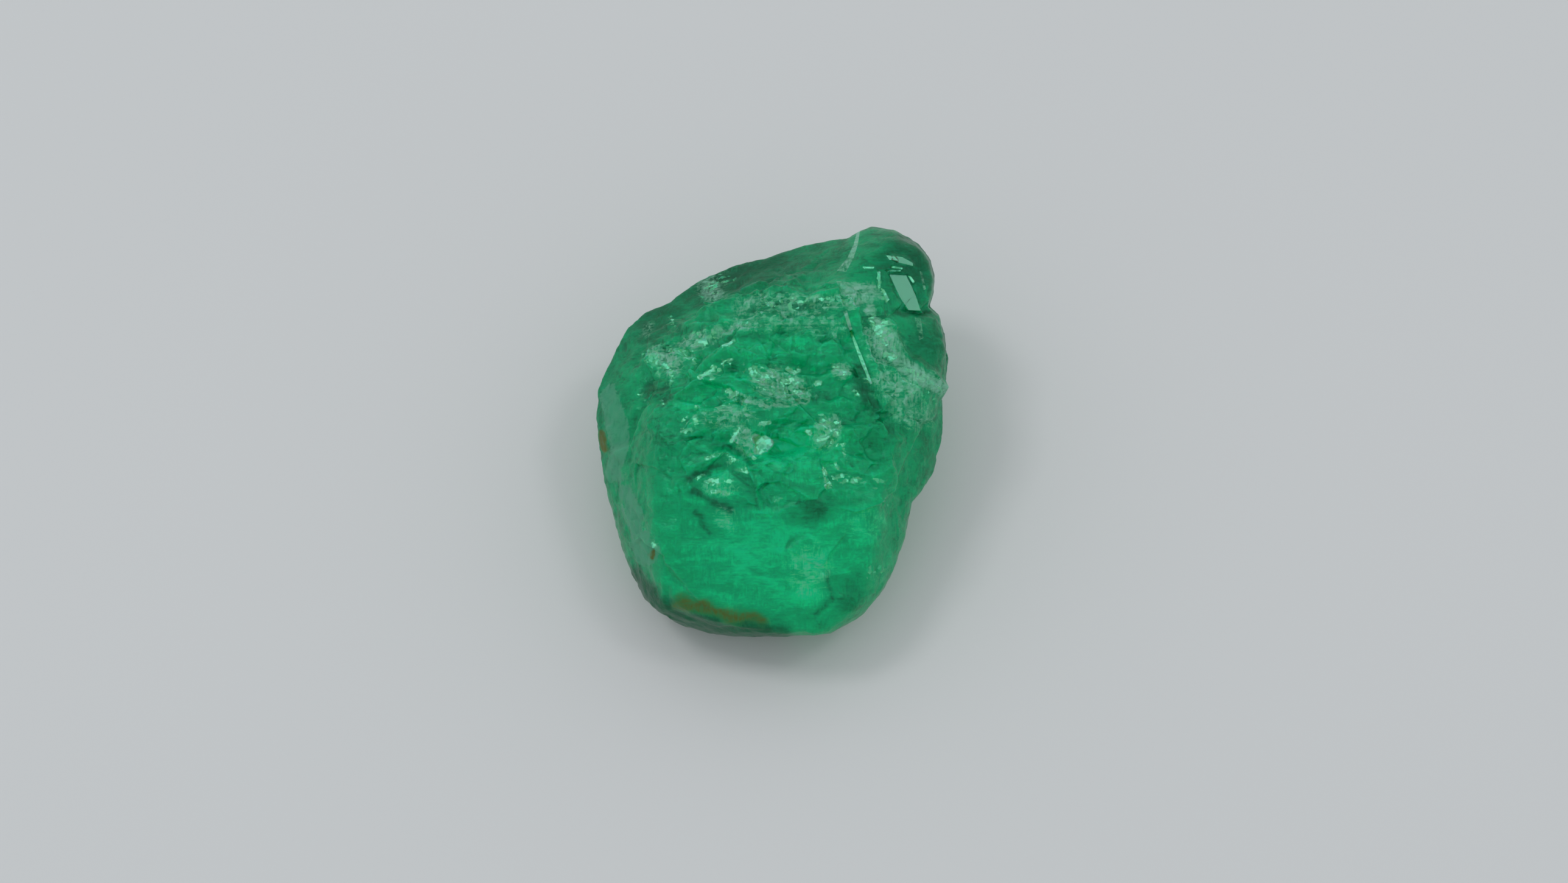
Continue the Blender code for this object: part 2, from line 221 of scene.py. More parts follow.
# Painted highlights: where flecks glint, their pale green is painted into the colour, over spalls and flecks
# that turn to the cleavage and really mirror the window lamp
GLITTERING = {
    "head": [
        ((-2.1, 5.6), (0.9, 0.4), 35, 0.6),
        ((1.6, 4.85), (2.0, 0.3), 0, 0.6),
        ((-1.95, 3.75), (1.3, 0.3), 12, 0.5),
        ([(-2.75, 3.38), (-2.38, 3.35)], 0.12, 1.2),
        ([(-0.3, 4.8), (0.1, 4.68)], 0.12, 1.1),
        ([(2.3, 4.85), (2.8, 4.8)], 0.08, 1.2),
    ],
    "left shoulder": [
        ((-4.2, 2.55), (0.9, 0.4), -38, 0.6),
        ([(-4.5, 2.65), (-4.05, 2.45)], 0.15, 1.1),
        ([(-3.78, 4.2), (-3.64, 4.12)], 0.11, 1.1),
        ([(-3.6, 3.05), (-2.75, 2.75)], 0.2, 1.0),
    ],
    "middle": [
        ((-2.0, 2.32), (0.9, 0.24), 27, 0.8),
        ((0.35, 1.85), (1.45, 0.6), -18, 0.6),
        ([(-0.7, 2.3), (-0.08, 2.0), (0.0, 1.7), (0.22, 1.38)], 0.12, 1.1),
        ((-1.3, 0.95), (0.7, 0.3), 0, 0.6),
        ((2.1, 0.0), (0.75, 0.45), -48, 0.6),
    ],
    "left face": [((-3.05, 0.3), (0.25, 0.45), 0, 0.6)],
    "arrowhead": [((-1.75, -1.75), (0.7, 0.22), -8, 0.6)],
    "pale ridge": [
        ((4.25, 3.55), (0.3, 1.1), 22, 0.6),
        ((5.6, 1.6), (0.95, 0.45), -28, 0.5),
    ],
    "low right": [
        ((3.2, -1.75), (1.4, 0.22), -10, 0.7),
        ([(1.98, -1.4), (2.1, -2.0)], 0.09, 1.1),
        ([(2.6, -1.76), (3.15, -1.78), (4.19, -1.72)], 0.08, 1.2),
        ([(4.2, -2.58), (4.24, -2.6)], 0.1, 1.2),
        ([(3.6, -5.1), (4.2, -5.0)], 0.14, 1.0),
    ],
}
# Painted highlights: the gleams' pale green is painted into the colour, and their surface turns to the
# cleavage so that it also really mirrors the window lamp
GLEAMING = {
    "star": [
        ([(-0.52, -0.22), (-0.3, -0.38), (-0.42, -0.62)], 0.2, 1.0),
        ([(-0.2, -0.26), (-0.02, -0.38), (-0.2, -0.56)], 0.17, 1.0),
        ([(-0.61, -0.91), (-0.56, -0.94)], 0.07, 0.9),
    ],
    "beside the star": [
        ([(-1.39, -0.31), (-1.27, -0.06), (-1.13, 0.18)], 0.07, 0.8),
        ([(-0.32, 0.33), (-0.03, 0.36)], 0.08, 1.0),
        ([(1.37, 0.03), (1.46, -0.02)], 0.1, 1.0),
        ([(1.8, -0.25), (2.08, -0.13)], 0.11, 1.0),
    ],
    "inside the arrowhead": [
        ([(-2.32, -1.77), (-2.04, -1.71), (-1.78, -1.78)], 0.09, 0.9),
        ([(-2.09, -2.17), (-1.82, -2.12), (-1.55, -2.2)], 0.08, 0.8),
        ([(-1.42, -1.89), (-1.22, -1.82)], 0.08, 0.7),
        ([(-2.63, -1.65), (-2.38, -1.51)], 0.06, 0.6),
    ],
    "bars of the arrowhead": [
        ([(-1.75, -1.08), (-1.36, -1.22), (-0.82, -1.46)], 0.07, 0.7),
        ([(-1.58, -0.77), (-1.22, -1.03), (-0.86, -1.33)], 0.07, 0.6),
        ([(-2.27, -0.92), (-1.78, -0.76)], 0.09, 0.4),
    ],
    "low right": [
        ([(1.96, -1.35), (2.0, -1.49)], 0.09, 0.8),
        ([(2.36, -1.14), (2.48, -1.29)], 0.07, 0.6),
        ([(2.03, -1.94), (2.17, -1.83)], 0.08, 0.8),
        ([(2.62, -0.62), (2.72, -0.79), (2.75, -1.02)], 0.05, 0.5),
        ([(3.0, -1.77), (3.13, -1.74)], 0.09, 0.9),
        ([(0.21, -2.49), (0.41, -2.4)], 0.09, 0.4),
    ],
    "left shoulder": [
        ([(-2.68, 3.37), (-2.48, 3.42), (-2.39, 3.33)], 0.1, 1.0),
        ([(-1.74, 3.18), (-1.51, 3.27), (-1.34, 3.39)], 0.07, 0.9),
        ([(-4.6, 2.68), (-4.29, 2.8), (-4.17, 2.92)], 0.1, 0.5),
        ([(-3.95, 2.52), (-3.73, 2.33), (-3.64, 2.09), (-3.69, 1.82)], 0.09, 0.5),
        ([(-3.53, 3.11), (-3.18, 3.0), (-2.87, 3.06)], 0.09, 0.4),
        ([(-3.33, 2.88), (-3.1, 2.79), (-2.81, 2.72)], 0.07, 0.5),
    ],
    "upper left": [
        ([(-2.58, 2.02), (-2.47, 2.09)], 0.09, 1.0),
        ([(-2.35, 2.17), (-2.12, 2.27), (-2.02, 2.4)], 0.09, 0.8),
        ([(-1.77, 2.52), (-1.6, 2.64), (-1.37, 2.67)], 0.06, 0.8),
    ],
    "left edge": [
        ([(-1.51, 1.55), (-1.38, 1.36), (-1.21, 1.44)], 0.1, 0.9),
        ([(-2.73, 0.56), (-2.67, 0.32)], 0.11, 0.6),
        ([(-2.7, 0.98), (-2.58, 0.92)], 0.06, 0.5),
        ([(-4.97, 1.43), (-4.75, 1.4)], 0.04, 0.6),
        ([(-4.66, 1.18), (-4.47, 1.12)], 0.04, 0.4),
        ([(-3.97, 1.22), (-3.89, 0.97)], 0.05, 0.5),
    ],
    "head": [
        ([(-3.8, 4.39), (-3.69, 4.26)], 0.05, 0.7),
        ([(-2.5, 5.52), (-2.2, 5.65), (-2.01, 5.75)], 0.07, 0.5),
        ([(-0.14, 4.81), (0.04, 4.71)], 0.08, 0.6),
        ([(4.01, 5.86), (4.06, 5.52)], 0.05, 0.9),
        ([(4.1, 5.25), (4.23, 5.0), (4.36, 4.87)], 0.05, 0.8),
    ],
    "pale ridge": [
        ([(3.71, 4.21), (3.88, 3.94), (4.05, 3.57), (4.27, 3.26)], 0.11, 0.6),
        ([(3.81, 3.79), (3.96, 3.59)], 0.11, 0.5),
        ([(4.22, 2.86), (4.4, 2.91), (4.51, 2.77)], 0.1, 1.0),
        ([(4.43, 2.71), (4.65, 2.79), (4.68, 2.86)], 0.07, 0.9),
        ([(4.85, 1.91), (5.22, 1.8), (5.53, 1.67)], 0.06, 0.5),
        ([(4.77, 2.49), (5.4, 2.18), (5.95, 1.85), (6.34, 1.62)], 0.12, 0.4),
    ],
    "upper middle": [
        ([(-0.72, 2.32), (-0.66, 2.1)], 0.09, 0.7),
        ([(0.64, 2.33), (0.86, 2.19), (1.07, 2.28)], 0.09, 0.9),
        ([(1.69, 1.79), (1.81, 1.82)], 0.09, 1.0),
        ([(1.3, 1.88), (1.36, 1.73)], 0.05, 0.6),
        ([(2.3, 2.46), (2.54, 2.33), (2.71, 2.21)], 0.1, 0.5),
        ([(3.55, 2.06), (3.66, 1.88)], 0.06, 0.6),
        ([(3.1, 1.52), (3.19, 1.4)], 0.08, 0.7),
    ],
    "lower waxy patch": [([(-4.25, -4.04), (-4.21, -4.12)], 0.11, 0.8)],
}
# Painted glow: the body is painted a brighter green where light shines through it
PAINTED_GLOW = {
    "bright band": [
        ((0.1, 3.15), (3.1, 0.55), 2, 0.55),
        ((-1.6, 1.6), (1.7, 0.7), 20, 0.7),
        ((-2.8, 1.1), (1.0, 0.75), 25, 0.7),
    ],
    "middle": [
        ((0.6, -0.6), (3.0, 1.1), 8, 1.2),
        ((1.0, -0.4), (1.1, 0.55), 10, 1.9),
        ((-0.35, -0.45), (0.7, 0.6), 0, 2.2),
    ],
    "arrowhead": [
        ((-1.4, -1.8), (1.2, 0.9), 0, 1.4),
        ((-1.6, -3.2), (0.7, 0.6), 0, 1.5),
    ],
    "low front": [
        ((0.2, -4.6), (4.6, 3.2), 0, 1.1),
        ((1.75, -4.7), (0.9, 0.9), 0, 2.0),
        ((1.3, -5.8), (1.2, 0.8), 0, 1.8),
        ((-0.8, -4.6), (0.9, 0.8), 0, 1.7),
        ((3.4, -3.6), (1.3, 1.1), 0, 1.1),
    ],
}
# Painted shade: the body is painted a deeper green where it lies in shade or shows dark surroundings, and
# along the creases of the arrowhead and the blade
PAINTED_SHADE = {
    "knob and the hollow below it": [
        ((5.0, 6.3), (2.0, 1.9), -20, 1.2),
        ((5.85, 3.25), (1.3, 1.65), 0, 1.0),
        ([(4.3, 4.45), (5.2, 4.5), (6.0, 4.45)], 0.14, 1.2),
    ],
    "head": [
        ((0.0, 6.0), (4.6, 1.1), 12, 0.8),
        ((1.0, 4.7), (2.6, 0.5), 0, 0.9),
        ((0.0, 4.42), (1.6, 0.14), -2, 1.0),
        ([(-2.6, 3.0), (-1.6, 3.45), (0.0, 3.7), (2.4, 3.45)], 0.12, 0.5),
    ],
    "left side": [
        ((-4.3, 4.0), (1.7, 1.0), 42, 0.6),
        ((-4.1, 1.45), (0.9, 0.7), -30, 1.2),
        ((-4.4, -0.4), (1.5, 1.8), 0, 0.5),
    ],
    "right side": [
        ((4.2, 0.1), (1.5, 1.3), 0, 0.8),
        ((1.7, 1.25), (0.7, 0.4), 0, 0.7),
    ],
    "blade": [
        ([(3.18, 2.25), (3.32, 1.8), (3.62, 1.2), (3.75, 0.95)], 0.42, 1.4),
        ([(2.85, 4.0), (3.3, 2.9)], 0.12, 0.7),
    ],
    "edges of the arrowhead": [
        ([(-2.97, -1.77), (-2.67, -1.49), (-2.17, -1.2), (-1.75, -1.23), (-1.17, -1.46), (-0.75, -1.85),
          (-0.5, -2.33), (-0.38, -2.71)], 0.14, 1.5),
        ([(-1.71, -0.62), (-1.36, -0.56), (-0.98, -0.85), (-0.63, -1.19)], 0.11, 1.4),
        ([(-2.9, -2.06), (-2.44, -2.29), (-1.9, -2.61), (-1.42, -2.8)], 0.17, 1.6),
        ([(-2.68, -2.83), (-2.5, -3.14), (-2.36, -3.48), (-2.21, -3.77)], 0.1, 1.5),
    ],
    "low front": [
        ((1.55, -2.85), (1.2, 0.55), 10, 1.5),
        ([(0.72, -3.85), (0.62, -4.2)], 0.1, 1.5),
        ([(1.6, -6.7), (2.25, -5.95), (2.2, -5.2)], 0.14, 1.5),
        ((2.9, -5.9), (0.8, 1.0), 0, 1.0),
    ],
    "foot of the front wall": [
        ([(-5.0, -5.8), (-4.2, -6.6), (-3.0, -7.15), (-1.5, -7.4), (0.2, -7.55)], 0.9, 1.7),
    ],
}
STAINED = {
    "front edge": [
        ([(-3.36, -6.18), (-2.84, -6.29), (-2.13, -6.42), (-1.41, -6.61), (-0.76, -6.73),
          (-0.3, -6.83)], 0.5, 1.0),
    ],
    "left side": [
        ([(-6.4, 0.05), (-6.32, -0.35), (-6.22, -0.6)], 0.22, 1.2),
        ([(-4.34, -4.36), (-4.38, -4.5)], 0.16, 1.2),
    ],
}

# Chips with crisp edges: the corners (A, B) of each one, clockwise, and its strength. The polished ones are
# flat and mirror a lamp, with a painted reflection in their colour; the glinting ones are flat on the
# cleavage, with a painted highlight in their colour; and the pale ones only differ in colour.
CHIPS = {
    "polished": [
        ([(4.447, 5.918), (5.08, 5.893), (5.396, 5.26), (5.611, 4.57), (5.16, 4.586), (4.843, 5.062)], 1.0),
        ([(4.34, 6.646), (4.933, 6.587), (5.335, 6.372),
          (5.335, 6.258), (4.858, 6.366), (4.422, 6.491)], 0.9),
    ],
    "glinting": [
        ([(5.146, 5.897), (5.26, 5.863), (5.396, 5.647), (5.328, 5.59)], 0.8),
        ([(4.33, 6.65), (4.62, 6.62), (4.79, 6.43), (4.44, 6.48)], 0.7),
        ([(3.441, 6.217), (3.874, 6.192), (3.852, 6.131), (3.487, 6.14)], 0.6),
        ([(4.512, 6.256), (4.945, 6.169), (4.923, 6.108), (4.49, 6.176)], 0.6),
        ([(4.33, 6.099), (4.877, 6.078), (4.854, 6.033), (4.353, 6.035)], 0.5),
        ([(3.985, 6.011), (4.099, 6.011), (4.099, 5.396), (4.008, 5.351)], 0.6),
        ([(4.099, 5.396), (4.235, 5.328), (4.417, 4.941), (4.326, 4.873)], 0.9),
        ([(2.927, 3.74), (3.005, 3.762), (3.484, 2.515), (3.729, 1.803), (3.673, 1.77), (3.339, 2.538)], 0.6),
    ],
    "pale": [
        ([(3.3, 7.72), (3.4, 7.72), (3.3, 7.145), (3.15, 7.168)], 0.9),
        ([(3.15, 7.152), (3.3, 7.129), (3.12, 6.566), (2.9, 6.612)], 0.8),
        ([(2.9, 6.612), (3.12, 6.566), (2.82, 6.003), (2.48, 6.072)], 0.5),
        ([(2.688, 4.458), (2.822, 4.502), (3.024, 3.808), (2.912, 3.763)], 0.8),
        ([(5.381, 4.332), (5.609, 4.309), (5.7, 3.534), (5.54, 3.443)], 0.4),
        ([(5.601, 6.08), (5.693, 6.034), (5.829, 5.396), (5.738, 5.351)], 0.4),
        ([(3.735, 4.32), (3.915, 4.298), (4.185, 3.938), (4.05, 3.848)], 1.0),
        ([(4.804, 2.674), (4.94, 2.697), (5.574, 2.311), (6.39, 1.7), (6.277, 1.564), (5.529, 1.971)], 0.9),
        ([(2.45, 5.65), (3.85, 5.5), (4.0, 5.3), (2.55, 5.35)], 0.5),
    ],
}
CHIP_REACH = 0.6  # faces this near to a chip's own corners may be cut by its edges
ON_CUT = 1e-4  # a corner this near to a cut is on it
# A mark is even over its core, a share of its reach, and has faded out at the share MARK_END
SOFT_CORE, DARK_CORE, SPOT_CORE, CRISP_CORE = 0.0, 0.2, 0.5, 0.6
MARK_END = 1.2
MARK_FADE = (-0.8, -0.2)  # the broad face's marks fade out between these heights over the rim
WARP_SIZE = 0.55  # the marks' edges wander over this width
WARP_REACH = 0.2  # and by this much
WARP_SEED = 1795485762  # this settles where they wander to, which is otherwise left to the time of the run
BACK_SWELLS = (2.6, 0.8, 4)  # the back's frosted patches: their width, then the fade and octaves of detail
BACK_FROST = 0.45
BACK_PATCHES = (-0.05, 0.5)  # the noise between which a patch fades in
BACK_FALL = (-2.2, -1.0)  # the heights between which the back's patches end
RIM_REACH = (0.15, 1.6)  # the rim's look fades out between these distances from it
RIM_FOOT = (-3.5, 0.5)  # and between these points up the face (B), towards the foot
# Painted shade: the green is painted deeper along the rim, where the broad face falls away towards it, and on
# the back
RIM_SHADE = 0.3  # how much deeper the green is along the rim
EDGE_SHADE = 0.7  # and towards it, as the broad face falls away
EDGE_FALL = (0.2, 3.4)  # the heights over the rim between which that fades
BACK_SHADE = 0.3  # and how much deeper on the back
BACK_TURN = (-4.0, 0.0)  # the heights over the rim between which the one gives way to the other

# Looks
# The body's greens, from deep to bright, between which the painted glow and shade choose
DEEP_GREEN = (0.001, 0.112, 0.045, 1.0)
MID_GREEN = (0.003, 0.56, 0.24, 1.0)
BRIGHT_GREEN = (0.005, 1.0, 0.44, 1.0)
FROST_GREEN = (0.46, 0.88, 0.7, 1.0)
WAX_GREEN = (0.13, 0.54, 0.34, 1.0)
# Painted highlight: the pale greens of glinting flecks and gleams, over their real reflection of the window
# lamp
GLINT_GREEN = (0.22, 1.0, 0.6, 1.0)
CREAM_GLINT = (0.34, 1.0, 0.54, 1.0)
# Painted reflection: the paler green of the polished facets, over their real mirror of the ceiling lamp
WINDOW_REFLECTION_GREEN = (0.17, 0.29, 0.18, 1.0)
RUST = (0.1, 0.25, 0.026, 1.0)
RUST_CORE = (0.18, 0.16, 0.01, 1.0)
SEE_THROUGH = 0.52
REFRACTIVE_INDEX = 1.58
REFLECTION_LEVEL = 0.4  # under the usual 0.5, as the worn surface reflects less than a polished one
REFLECTION_TINT = (0.25, 1.0, 0.7, 1.0)
ABSORPTION_COLOUR = (0.0, 0.99, 0.93, 1.0)
ABSORPTION_PER_METRE = 1000.0
CLOUD_REACH = (0.2, 0.55, 0.35)  # how far red, green and blue light wander inside, in millimetres
GLASSY_ROUGHNESS = 0.3
BROKEN_ROUGHNESS = 0.36
FROSTED_ROUGHNESS = 0.55
WORN_ROUGHNESS = 0.6
GLINT_ROUGHNESS = 0.14
# The crystal's textures: the width of their blotches (A, B, C), their detail and their swirl
MOTTLE = ((1.1, 0.5, 0.5), 4.0, 0.8)  # cloudy mottling
WISPS = ((0.46, 0.09, 0.12), 3.0, 0.6)  # wisps that lie across the face
UPRIGHT_WISPS = ((0.09, 0.4, 0.16), 3.0, 0.6)  # and those that stand up it
WEAVE = ((0.9, 0.7, 0.7), 1.0, 0.0)  # the patches in which the one or the other shows
WEAVE_EDGE = (-0.06, 0.06)
GRAIN = ((0.12, 0.08, 0.08), 2.0, 0.0)  # fine grain
GRAIN_HEIGHT = 0.012
FLECK_SIZE = (0.19, 0.13, 0.15)  # width of the angular flecks, each of its own shade
FLECK_WARP = 0.16  # how far the flecks' edges wander
CLEAVAGE_SCATTER = 0.1  # how far from the cleavage a fleck may lean
FLECK_SHARES = (-0.05, 0.6, 0.05)  # those that glint anywhere, and what glittering and broken ground add
FLECK_EDGE = (0.0, 0.06)
FLECK_STRENGTHS = (0.35, 0.5)  # the dimmest glinting fleck, and what its shade adds
SHADE_SHARES = (0.35, 0.65)  # how far the flecks' shades show on smooth ground, and what broken ground adds
# How much mottling, wisps, grain and the flecks' shades vary each look, and between which values it sets in
GREEN_VARIES = (3.2, 2.1, 1.1, 0.9)
RELIEF_VARIES = (0.0, 1.0, 1.0, 0.0)
FROST_VARIES, FROST_EDGE, FROST_ENTRY = (0.9, 1.6, 0.8, 0.6), (0.1, 1.2), (0.0, 0.4)
GLEAM_VARIES, GLEAM_EDGE, GLEAM_ENTRY = (0.0, 1.4, 1.0, 0.0), (0.1, 0.8), (0.0, 0.2)
RUST_VARIES, RUST_EDGE, RUST_ENTRY = (1.2, 0.8, 0.0, 0.0), (0.1, 1.2), (0.0, 0.9)
WAX_VARIES, WAX_EDGE = (0.0, 1.0, 0.0, 0.0), (0.3, 0.7)
WAX_COVER, WAX_COVER_VARIES = 0.8, (0.6, 1.2, 0.0, 0.0)
CORE_EDGE = (0.5, 1.1)  # the stain's core
# The glows here are the values of the painted glow and shade
DEEP_FALL = (-1.4, 0.2)  # between these glows the textures grow from DEEP_SHARE to their full strength
DEEP_SHARE = 0.5
DEEP_TO_MID = (-2.0, 0.0)  # the glows between which one green gives way to the next
MID_TO_BRIGHT = (-0.2, 1.8)
# Painted highlight: how far the glints' pale green covers the body's colour
GLINT_COVER = 0.9
CLEAN_EDGE = (0.2, 0.5)  # a glint this strong is smooth

# The view and the light
VIEW_DISTANCE = 100.0
VIEW_LENS = 60.8
NEAREST_SEEN = 10.0
SENSOR_WIDTH = 36.0
AIM = (0.506, -0.322)  # the picture's middle on the broad face (A, B)
PAPER_DROP = 0.02  # the sheet lies this far under the rest face, so that the two don't share a plane
PAPER_SIDE = 900.0
PAPER = (0.648, 0.663, 0.665, 1.0)
PAPER_ROUGHNESS = 0.85
SKY = (0.97, 1.0, 1.03, 1.0)
SKY_RADIANCE = 0.66
LAMP_DISTANCE = 400.0
LAMPS = {  # the way to each lamp, its side and its radiance
    "window": ((-0.47, 0.1, 0.87), 96.0, 7.2),
    "ceiling": ((0.47, 0.0, 0.88), 78.0, 5.4),
}
CAMERA_WAY = (0.0, -math.sin(FACE_LEAN), math.cos(FACE_LEAN))
CLEAVAGE = (Vector(CAMERA_WAY) + Vector(LAMPS["window"][0]).normalized()).normalized()


def soft_min(first, second, reach):
    """The lower of two distances, with the corner between them worn round over reach."""
    overlap = np.maximum(reach - np.abs(first - second), 0.0)
    return np.minimum(first, second) - overlap**2 / (4.0 * reach)


def smooth_step(low, high, value):
    share = np.clip((value - low) / (high - low), 0.0, 1.0)
    return share * share * (3.0 - 2.0 * share)


def rim_height(points):
    """How far each point stands out of the stone's widest line, which sinks towards the head."""
    return points[:, 2] + RIM_SINK * points[:, 1]


def pillow_distance(ways):
    """How far the rounded body reaches along each way, a unit vector in the face frame."""
    bearings = np.arctan2(ways[:, 1], ways[:, 0])
    rim = np.array(RIM)
    rim_bearings = np.unwrap(np.arctan2(rim[:, 1], rim[:, 0]))
    outline = np.interp(bearings, rim_bearings, np.hypot(rim[:, 0], rim[:, 1]), period=2.0 * math.pi)
    across = np.hypot(ways[:, 0], ways[:, 1])
    out = rim_height(ways)
    depth = np.where(out > 0.0, CROWN_DEPTH, KEEL_DEPTH)
    powers = (across / outline) ** PILLOW_POWER + (np.abs(out) / depth) ** PILLOW_POWER
    return powers ** (-1.0 / PILLOW_POWER)


def face_distance(ways, point, normal):
    """How far it is along each way to a flat face, or far away where the way never meets it."""
    normal = np.array(normal) / np.linalg.norm(normal)
    facing = ways @ normal
    return np.where(facing > EDGE_ON, np.dot(point, normal) / np.maximum(facing, EDGE_ON), FAR)


def hollow_distance(ways, centre, radii):
    """How far it is along each way to a hollow's ball, or far away where the way misses it."""
    scaled = ways / radii
    middle = np.array(centre) / radii
    a = (scaled**2).sum(axis=1)
    b = scaled @ middle
    inside = b**2 - a * (middle @ middle - 1.0)
    return np.where((inside > 0.0) & (b > 0.0), (b - np.sqrt(np.maximum(inside, 0.0))) / a, FAR)


def route_distance(flat, route):
    """How far each flat point (A, B) is from a route on the broad face."""
    nearest = np.full(len(flat), np.inf)
    for start, end in zip(np.array(route[:-1]), np.array(route[1:])):
        run = end - start
        share = np.clip((flat - start) @ run / (run @ run), 0.0, 1.0)
        nearest = np.minimum(nearest, np.linalg.norm(flat - start - share[:, None] * run, axis=1))
    return nearest


def ridge_relief(points, route, height, half_width):
    """A raised edge of triangular section along a route on the broad face."""
    nearest = route_distance(points[:, :2], route)
    return np.where(points[:, 2] > 0.0, height * np.maximum(1.0 - nearest / half_width, 0.0), 0.0)


def shelf_share(points, corners):
    """1 inside the corners of a shelf, which run clockwise, falling to 0 at its edge."""
    inside = np.full(len(points), np.inf)
    for start, end in zip(corners, np.roll(corners, -1, axis=0)):
        run = (end - start) / np.linalg.norm(end - start)
        inside = np.minimum(inside, (points[:, :2] - start) @ (run[1], -run[0]))
    return smooth_step(0.0, STEP_WALL, inside) * (points[:, 2] > 0.0)


def cleave_step(points, corners, height, rise_a, rise_b, filled):
    """Levels what stands above a sloping shelf, and fills what lies below it where it is filled."""
    above = points[:, 2] - height - (points[:, :2] - corners.mean(axis=0)) @ (rise_a, rise_b)
    levelled = points.copy()
    levelled[:, 2] -= (above if filled else np.maximum(above, 0.0)) * shelf_share(points, corners)
    return levelled


def facet_relief(points, size, tilt):
    """Flat facets that each lean their own way, as a brittle crystal breaks, with steep steps between."""
    relief = np.empty(len(points))
    for index, point in enumerate(points / (size * FACET_STRETCH, size, size)):
        place = Vector(point)
        distances, middles = noise.voronoi(place)
        heights = []
        for distance, middle in zip(distances, middles):
            lean = noise.cell_vector(middle * CELL_SCATTER) - Vector((0.5, 0.5, 0.5))
            step_down = FACET_STEP * (distance - distances[0])
            heights.append(2.0 * tilt * (place - middle).dot(lean) - step_down)
        relief[index] = size * max(heights)
    return relief


def swells(points, size, fade=1.0, octaves=3):
    """Smooth noise at each point, whose widest swells have this size and whose finer ones fade."""
    return np.array([noise.fractal(Vector(point) / size, fade, OCTAVE_STEP, octaves) for point in points])


def broken_share(points):
    """1 on the broken ground of the broad face, falling to 0 on the smooth faces around it."""
    away = np.hypot(*((points[:, :2] - HACKLY_MIDDLE) / HACKLY_REACH).T)
    glassy = np.hypot(*((points[:, :2] - GLASSY_MIDDLE) / GLASSY_REACH).T)
    return (1.0 - smooth_step(*HACKLY_EDGE, away)) * smooth_step(*GLASSY_EDGE, glassy) * (points[:, 2] > 0.0)


def stone_points(ways):
    """The points of the whole stone in the face frame, one along each way from its middle."""
    off_rim = smooth_step(*RIM_CALM, np.abs(rim_height(ways)))
    worn = WORN_EDGE + (SOFT_EDGE - WORN_EDGE) * off_rim
    reach = pillow_distance(ways)
    for point, normal in FACES.values():
        reach = soft_min(reach, face_distance(ways, point, normal), worn)
    for centre, radii in HOLLOWS.values():
        reach = soft_min(reach, hollow_distance(ways, centre, radii), worn)
    points = ways * reach[:, None]
    hackly = CALM_SHARE + (1.0 - CALM_SHARE) * broken_share(points)
    relief = hackly * facet_relief(points, *HACKLES)
    lumps = LUMP_HEIGHT * swells(points, LUMP_SIZE)
    relief += off_rim * (facet_relief(points, *SLABS) + lumps)
    for route, height, half_width in RIDGES.values():
        relief += ridge_relief(points, route, height, half_width)
    points = points + ways * relief[:, None]
    for corners, *plane in STEPS.values():
        points = cleave_step(points, np.array(corners), *plane)
    return points


def cut_rest_face(body, height):
    """Cuts the mesh off flat at this height and closes the cut with one level face."""
    cut = bmesh.ops.bisect_plane(
        body,
        geom=body.verts[:] + body.edges[:] + body.faces[:],
        plane_co=(0.0, 0.0, height),
        plane_no=(0.0, 0.0, 1.0),
        clear_inner=True,
    )
    edges = [part for part in cut["geom_cut"] if isinstance(part, bmesh.types.BMEdge)]
    bmesh.ops.contextual_create(body, geom=edges)
    bmesh.ops.recalc_face_normals(body, faces=body.faces[:])


def decimated(obj, share):
    """The object's mesh with this share of its triangles, densest where the surface turns most."""
    modifier = obj.modifiers.new("fewer triangles", "DECIMATE")
    modifier.ratio = share
    bpy.context.view_layer.update()
    evaluated = obj.evaluated_get(bpy.context.evaluated_depsgraph_get())
    mesh = bpy.data.meshes.new_from_object(evaluated)
    obj.modifiers.clear()
    return mesh


def wandered(points):
    """The points' places on the broad face, shifted a little so that no mark has a smooth edge."""
    noise.seed_set(WARP_SEED)
    shifts = np.array([noise.noise_vector(Vector(point) / WARP_SIZE) for point in points])
    return points[:, :2] + WARP_REACH * shifts[:, :2]


def spot_mask(flat, core, middle, reach, turn, strength):
    """The spot's strength over its core, fading to nothing past its reach."""
    turn = math.radians(turn)
    along = (flat - middle) @ (math.cos(turn), math.sin(turn)) / reach[0]
    across = (flat - middle) @ (-math.sin(turn), math.cos(turn)) / reach[1]
    return strength * (1.0 - smooth_step(core, MARK_END, np.hypot(along, across)))


def stroke_mask(flat, core, route, half_width, strength):
    """The stroke's strength along its route, fading to nothing past its half width."""
    return strength * (1.0 - smooth_step(core, MARK_END, route_distance(flat, route) / half_width))


def marks_mask(points, flat, marks, core=SPOT_CORE):
    """The strength of the strongest of the marks at each point of the broad face."""
    mask = np.zeros(len(flat))
    for mark in sum(marks.values(), []):
        mask = np.maximum(mask, (spot_mask if len(mark) == 4 else stroke_mask)(flat, core, *mark))
    return mask * smooth_step(*MARK_FADE, points[:, 2] + RIM_SINK * np.maximum(points[:, 1], 0.0))


def back_frost(points):
    """Frosted patches on the sides, the back and the underside."""
    patches = swells(points, *BACK_SWELLS)
    return BACK_FROST * smooth_step(*BACK_PATCHES, patches) * (1.0 - smooth_step(*BACK_FALL, points[:, 2]))


def rim_share(points):
    """1 on the rim, where the stone turns from the broad face to the back, above the foot."""
    return (1.0 - smooth_step(*RIM_REACH, np.abs(rim_height(points)))) * smooth_step(*RIM_FOOT, points[:, 1])


